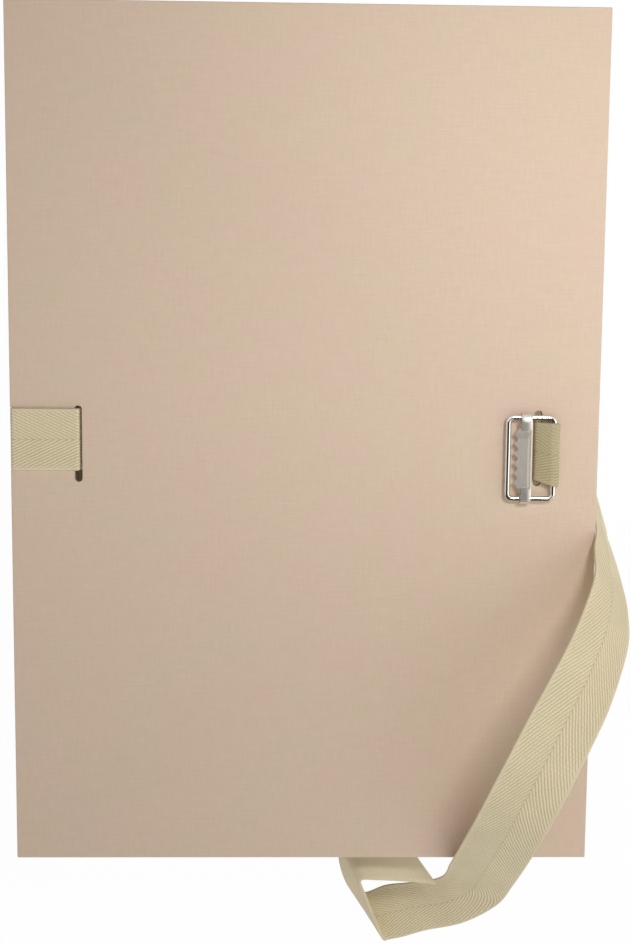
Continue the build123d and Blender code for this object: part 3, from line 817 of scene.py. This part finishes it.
def bar_plate():
    """The toothed plate: rows of its outline from one end to the other."""
    points = [
        (BAR_TIP_X, BAR_TIP_Z),
        (BAR_FLAT_X, BAR_FLAT_Z),
        (BAR_LIP_X - BAR_THICKNESS / 2, BAR_FLAT_Z),
        (BAR_LIP_X - BAR_THICKNESS / 2, BAR_LIP_Z),
    ]
    outline = band(rounded(points, BAR_BENDS, 0.0003), BAR_THICKNESS)
    toothed = np.clip(1 - (outline[:, 0] - BAR_TIP_X) / BAR_TOOTH_FADE, 0, 1)
    dipped = np.clip((BAR_LIP_X - BAR_THICKNESS - outline[:, 0]) / BAR_THICKNESS, 0, 1)
    slope = (BAR_FLAT_Z - BAR_TIP_Z) / (BAR_FLAT_X - BAR_TIP_X)
    flank = BAR_TOOTH_PITCH / 2 - BAR_TOOTH_TIP - BAR_TOOTH_ROOT
    middle = outline.mean(axis=0)
    vertices = []
    ys = np.linspace(-BAR_LENGTH / 2, BAR_LENGTH / 2, BAR_ROWS)
    for y in ys:
        from_tip = abs((y / BAR_TOOTH_PITCH + BAR_TEETH / 2) % 1 - 0.5) * BAR_TOOTH_PITCH
        cut = BAR_TOOTH_DEPTH * np.clip((from_tip - BAR_TOOTH_TIP) / flank, 0, 1)
        dip = BAR_DIP * eased((BAR_LENGTH / 2 - y - BAR_DIP_START) / BAR_DIP_LENGTH)
        x = outline[:, 0] + cut * toothed
        z = outline[:, 1] + cut * toothed * slope - dip * dipped
        pull = BAR_END_ROUNDING if y in (ys[0], ys[-1]) else 0.0
        x += (middle[0] - x) * pull
        z += (middle[1] - z) * pull
        vertices += list(zip(x, np.full(len(x), BUCKLE_Y + y), z))
    return vertices, skin_faces(len(ys), len(outline))


def bar_tab(side):
    """One end of the bar, rolled round the frame's end wire; side is +1 at the top."""
    rise = BAR_FLAT_Z - WIRE_Z
    route = [
        (-0.0048, rise),
        (-0.0035, rise),
        (-0.0012, rise - 0.0001),
        (0.0004, rise - 0.0005),
        (0.0014, 0.0013),
        (0.0016, 0.0003),
        (0.0014, -0.0008),
        (0.0006, -0.0015),
        (-0.0004, -0.0016),
        (-0.0013, -0.0010),
        (-0.0016, -0.0001),
    ]
    line = spline(route, 0.0002)
    wire_y = BUCKLE_Y + side * END_WIRE_REACH
    low_x = BAR_LIP_X - BAR_TAB_WIDTH
    rows = [
        (low_x, BAR_TAB_SIDE),
        (low_x + BAR_TAB_CHAMFER, 1.0),
        (BAR_LIP_X - BAR_TAB_CHAMFER, 1.0),
        (BAR_LIP_X, BAR_TAB_SIDE),
    ]
    vertices = []
    for x, share in rows:
        outline = band(line, BAR_THICKNESS * share)
        vertices += [(x, wire_y + side * y, WIRE_Z + z) for y, z in outline]
    faces = skin_faces(len(rows), len(outline))
    if side > 0:
        faces = [tuple(reversed(f)) for f in faces]
    return vertices, faces


def make_bar(satin, rubbed):
    """The toothed bar and its two rolled ends, as one stamping. The wire has rubbed the ends bright."""
    vertices = []
    faces = []
    finish = []
    for material, (points, sides) in ((0, bar_plate()), (1, bar_tab(1)), (1, bar_tab(-1))):
        faces += [tuple(i + len(vertices) for i in side) for side in sides]
        finish += [material] * len(sides)
        vertices += points
    bar = make_piece("toothed_bar", vertices, faces, satin, smooth=40)
    bar.data.materials.append(rubbed)
    bar.data.polygons.foreach_set("material_index", finish)
    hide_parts("buckle_bar")
    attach(bar, "buckle_bar")


def solid(name, shape):
    """A helper object from a bmesh."""
    mesh = bpy.data.meshes.new(name)
    bmesh.ops.recalc_face_normals(shape, faces=shape.faces)
    shape.to_mesh(mesh)
    shape.free()
    helper = bpy.data.objects.new(name, mesh)
    bpy.context.scene.collection.objects.link(helper)
    return helper


def block(low, high, rounding=0.0, turn=0.0):
    """A block between two corners, with rounded edges, turned about its middle."""
    shape = bmesh.new()
    bmesh.ops.create_cube(shape, size=1)
    low, high = Vector(low), Vector(high)
    for v in shape.verts:
        v.co = Vector((v.co[i] * (high - low)[i] for i in range(3)))
    if rounding:
        bmesh.ops.bevel(shape, geom=shape.edges[:], offset=rounding, segments=4, profile=0.5, affect="EDGES")
    for v in shape.verts:
        x, y, z = v.co
        v.co = (x * math.cos(turn) - y * math.sin(turn), x * math.sin(turn) + y * math.cos(turn), z)
        v.co += (low + high) / 2
    return solid("block", shape)


def slot_cutter(place):
    """A round-ended prism that goes through the front cover."""
    shape = bmesh.new()
    straight = SLOT_LENGTH / 2 - SLOT_WIDTH / 2
    steps = 16
    outline = []
    for side in (1, -1):
        for k in range(steps + 1):
            a = math.radians(180 * k / steps)
            x = side * SLOT_WIDTH / 2 * math.cos(a)
            y = side * (straight + SLOT_WIDTH / 2 * math.sin(a))
            outline.append(shape.verts.new((place[0] + x, place[1] + y, COVER_UNDER - CUT_REACH)))
    face = shape.faces.new(outline)
    lifted = bmesh.ops.extrude_face_region(shape, geom=[face])["geom"]
    top = [v for v in lifted if isinstance(v, bmesh.types.BMVert)]
    bmesh.ops.translate(shape, verts=top, vec=(0, 0, COVER_TOP - COVER_UNDER + 2 * CUT_REACH))
    return solid("slot", shape)


def carve(piece, cutters):
    """Cuts the helpers from a piece and deletes them."""
    for cutter in cutters:
        modifier = piece.modifiers.new("cut", "BOOLEAN")
        modifier.operation = "DIFFERENCE"
        modifier.solver = "EXACT"
        modifier.object = cutter
    bpy.context.view_layer.update()
    carved = bpy.data.meshes.new_from_object(piece.evaluated_get(bpy.context.evaluated_depsgraph_get()))
    piece.modifiers.clear()
    piece.data = carved
    for cutter in cutters:
        bpy.data.objects.remove(cutter)


def make_cover_skin(side, body, paper):
    """Covering paper round a board's edges, with soft corners, mitred turn-ins and, in front, the slots."""
    low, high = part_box(f"{side}_cover_paper")
    skin = block(low, high, EDGE_ROUNDING)
    skin.name = f"{side}_covering"
    edge = Vector((PAPER_THICKNESS,) * 3)
    front = side == "front"
    inside_z = low.z if front else high.z
    cutters = [block(low + edge, high - edge)]
    window_low = (low.x + TURN_IN, low.y + TURN_IN, inside_z - 2 * PAPER_THICKNESS)
    window_high = (high.x - TURN_IN, high.y - TURN_IN, inside_z + 2 * PAPER_THICKNESS)
    cutters.append(block(window_low, window_high))
    for sx in (1, -1):
        for sy in (1, -1):
            middle = Vector((sx * (high.x - TURN_IN / 2), sy * (high.y - TURN_IN / 2), inside_z))
            size = Vector((MITRE_LENGTH / 2, MITRE_WIDTH / 2, PAPER_THICKNESS / 2))
            cutters.append(block(middle - size, middle + size, turn=sx * sy * math.pi / 4))
    notch_half = STRAP_WIDTH / 2 + NOTCH_MARGIN
    notch_low = (low.x - NOTCH_DEPTH, STRAP_FRONT_Y - notch_half, low.z - NOTCH_DEPTH)
    notch_high = (low.x + NOTCH_DEPTH, STRAP_FRONT_Y + notch_half, high.z + NOTCH_DEPTH)
    cutters.append(block(notch_low, notch_high))
    if front:
        cutters += [slot_cutter(SPINE_SLOT), slot_cutter(BUCKLE_SLOT)]
    carve(skin, cutters)
    skin.data.materials.clear()
    skin.data.materials.append(paper)
    skin.data.polygons.foreach_set("use_smooth", [True] * len(skin.data.polygons))
    skin.data.set_sharp_from_angle(angle=CREASE)
    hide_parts(f"{side}_cover_paper")
    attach(skin, body)


def dress(material, *starts):
    """CAD nodes whose names begin so keep their shape and get a finish."""
    for name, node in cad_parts.items():
        if name.startswith(starts):
            node.data.materials.clear()
            node.data.materials.append(material)


def main():
    make_camera()
    make_world()
    make_floor()
    make_light("key", KEY_PLACE, KEY_SIZE, KEY_POWER, True)
    make_light("side", SIDE_PLACE, SIDE_SIZE, SIDE_POWER, False)
    paper = linen_paper("cover_paper", srgb(217, 191, 171), srgb(214, 193, 168))
    dress(plain_paper("grey_board", srgb(150, 148, 145), 0.08), "front_board", "back_board")
    dress(plain_paper("lining_paper", srgb(226, 214, 196), 0.03), "front_lining", "back_lining")
    dress(linen_paper("spine_card", srgb(206, 186, 163), srgb(201, 181, 158)), "spine_panel")
    folds = ("back_fold", "ridge_fold", "front_fold", "valley_fold")
    dress(book_cloth("fold_cloth", srgb(196, 176, 150)), *folds)
    dress(plain_paper("thread", srgb(214, 203, 172), 0.1), "loop_stitches")
    make_cover_skin("front", "front_cover", paper)
    make_cover_skin("back", "root", paper)
    make_strap(cotton_webbing())
    wire = nickel("nickel_wire", (0.74, 0.72, 0.68), (0.80, 0.78, 0.75), 0.11, 0.03, (200, 900), 1.0)
    satin = nickel("nickel_sheet", (0.66, 0.61, 0.53), (0.71, 0.66, 0.58), 0.36, 0.04, (240, 2600), 0.5)
    rubbed = nickel("nickel_ends", (0.70, 0.67, 0.61), (0.76, 0.73, 0.68), 0.22, 0.03, (240, 900), 0.7)
    make_frame(wire)
    make_bar(satin, rubbed)
    bpy.context.scene.view_settings.view_transform = "Standard"


main()
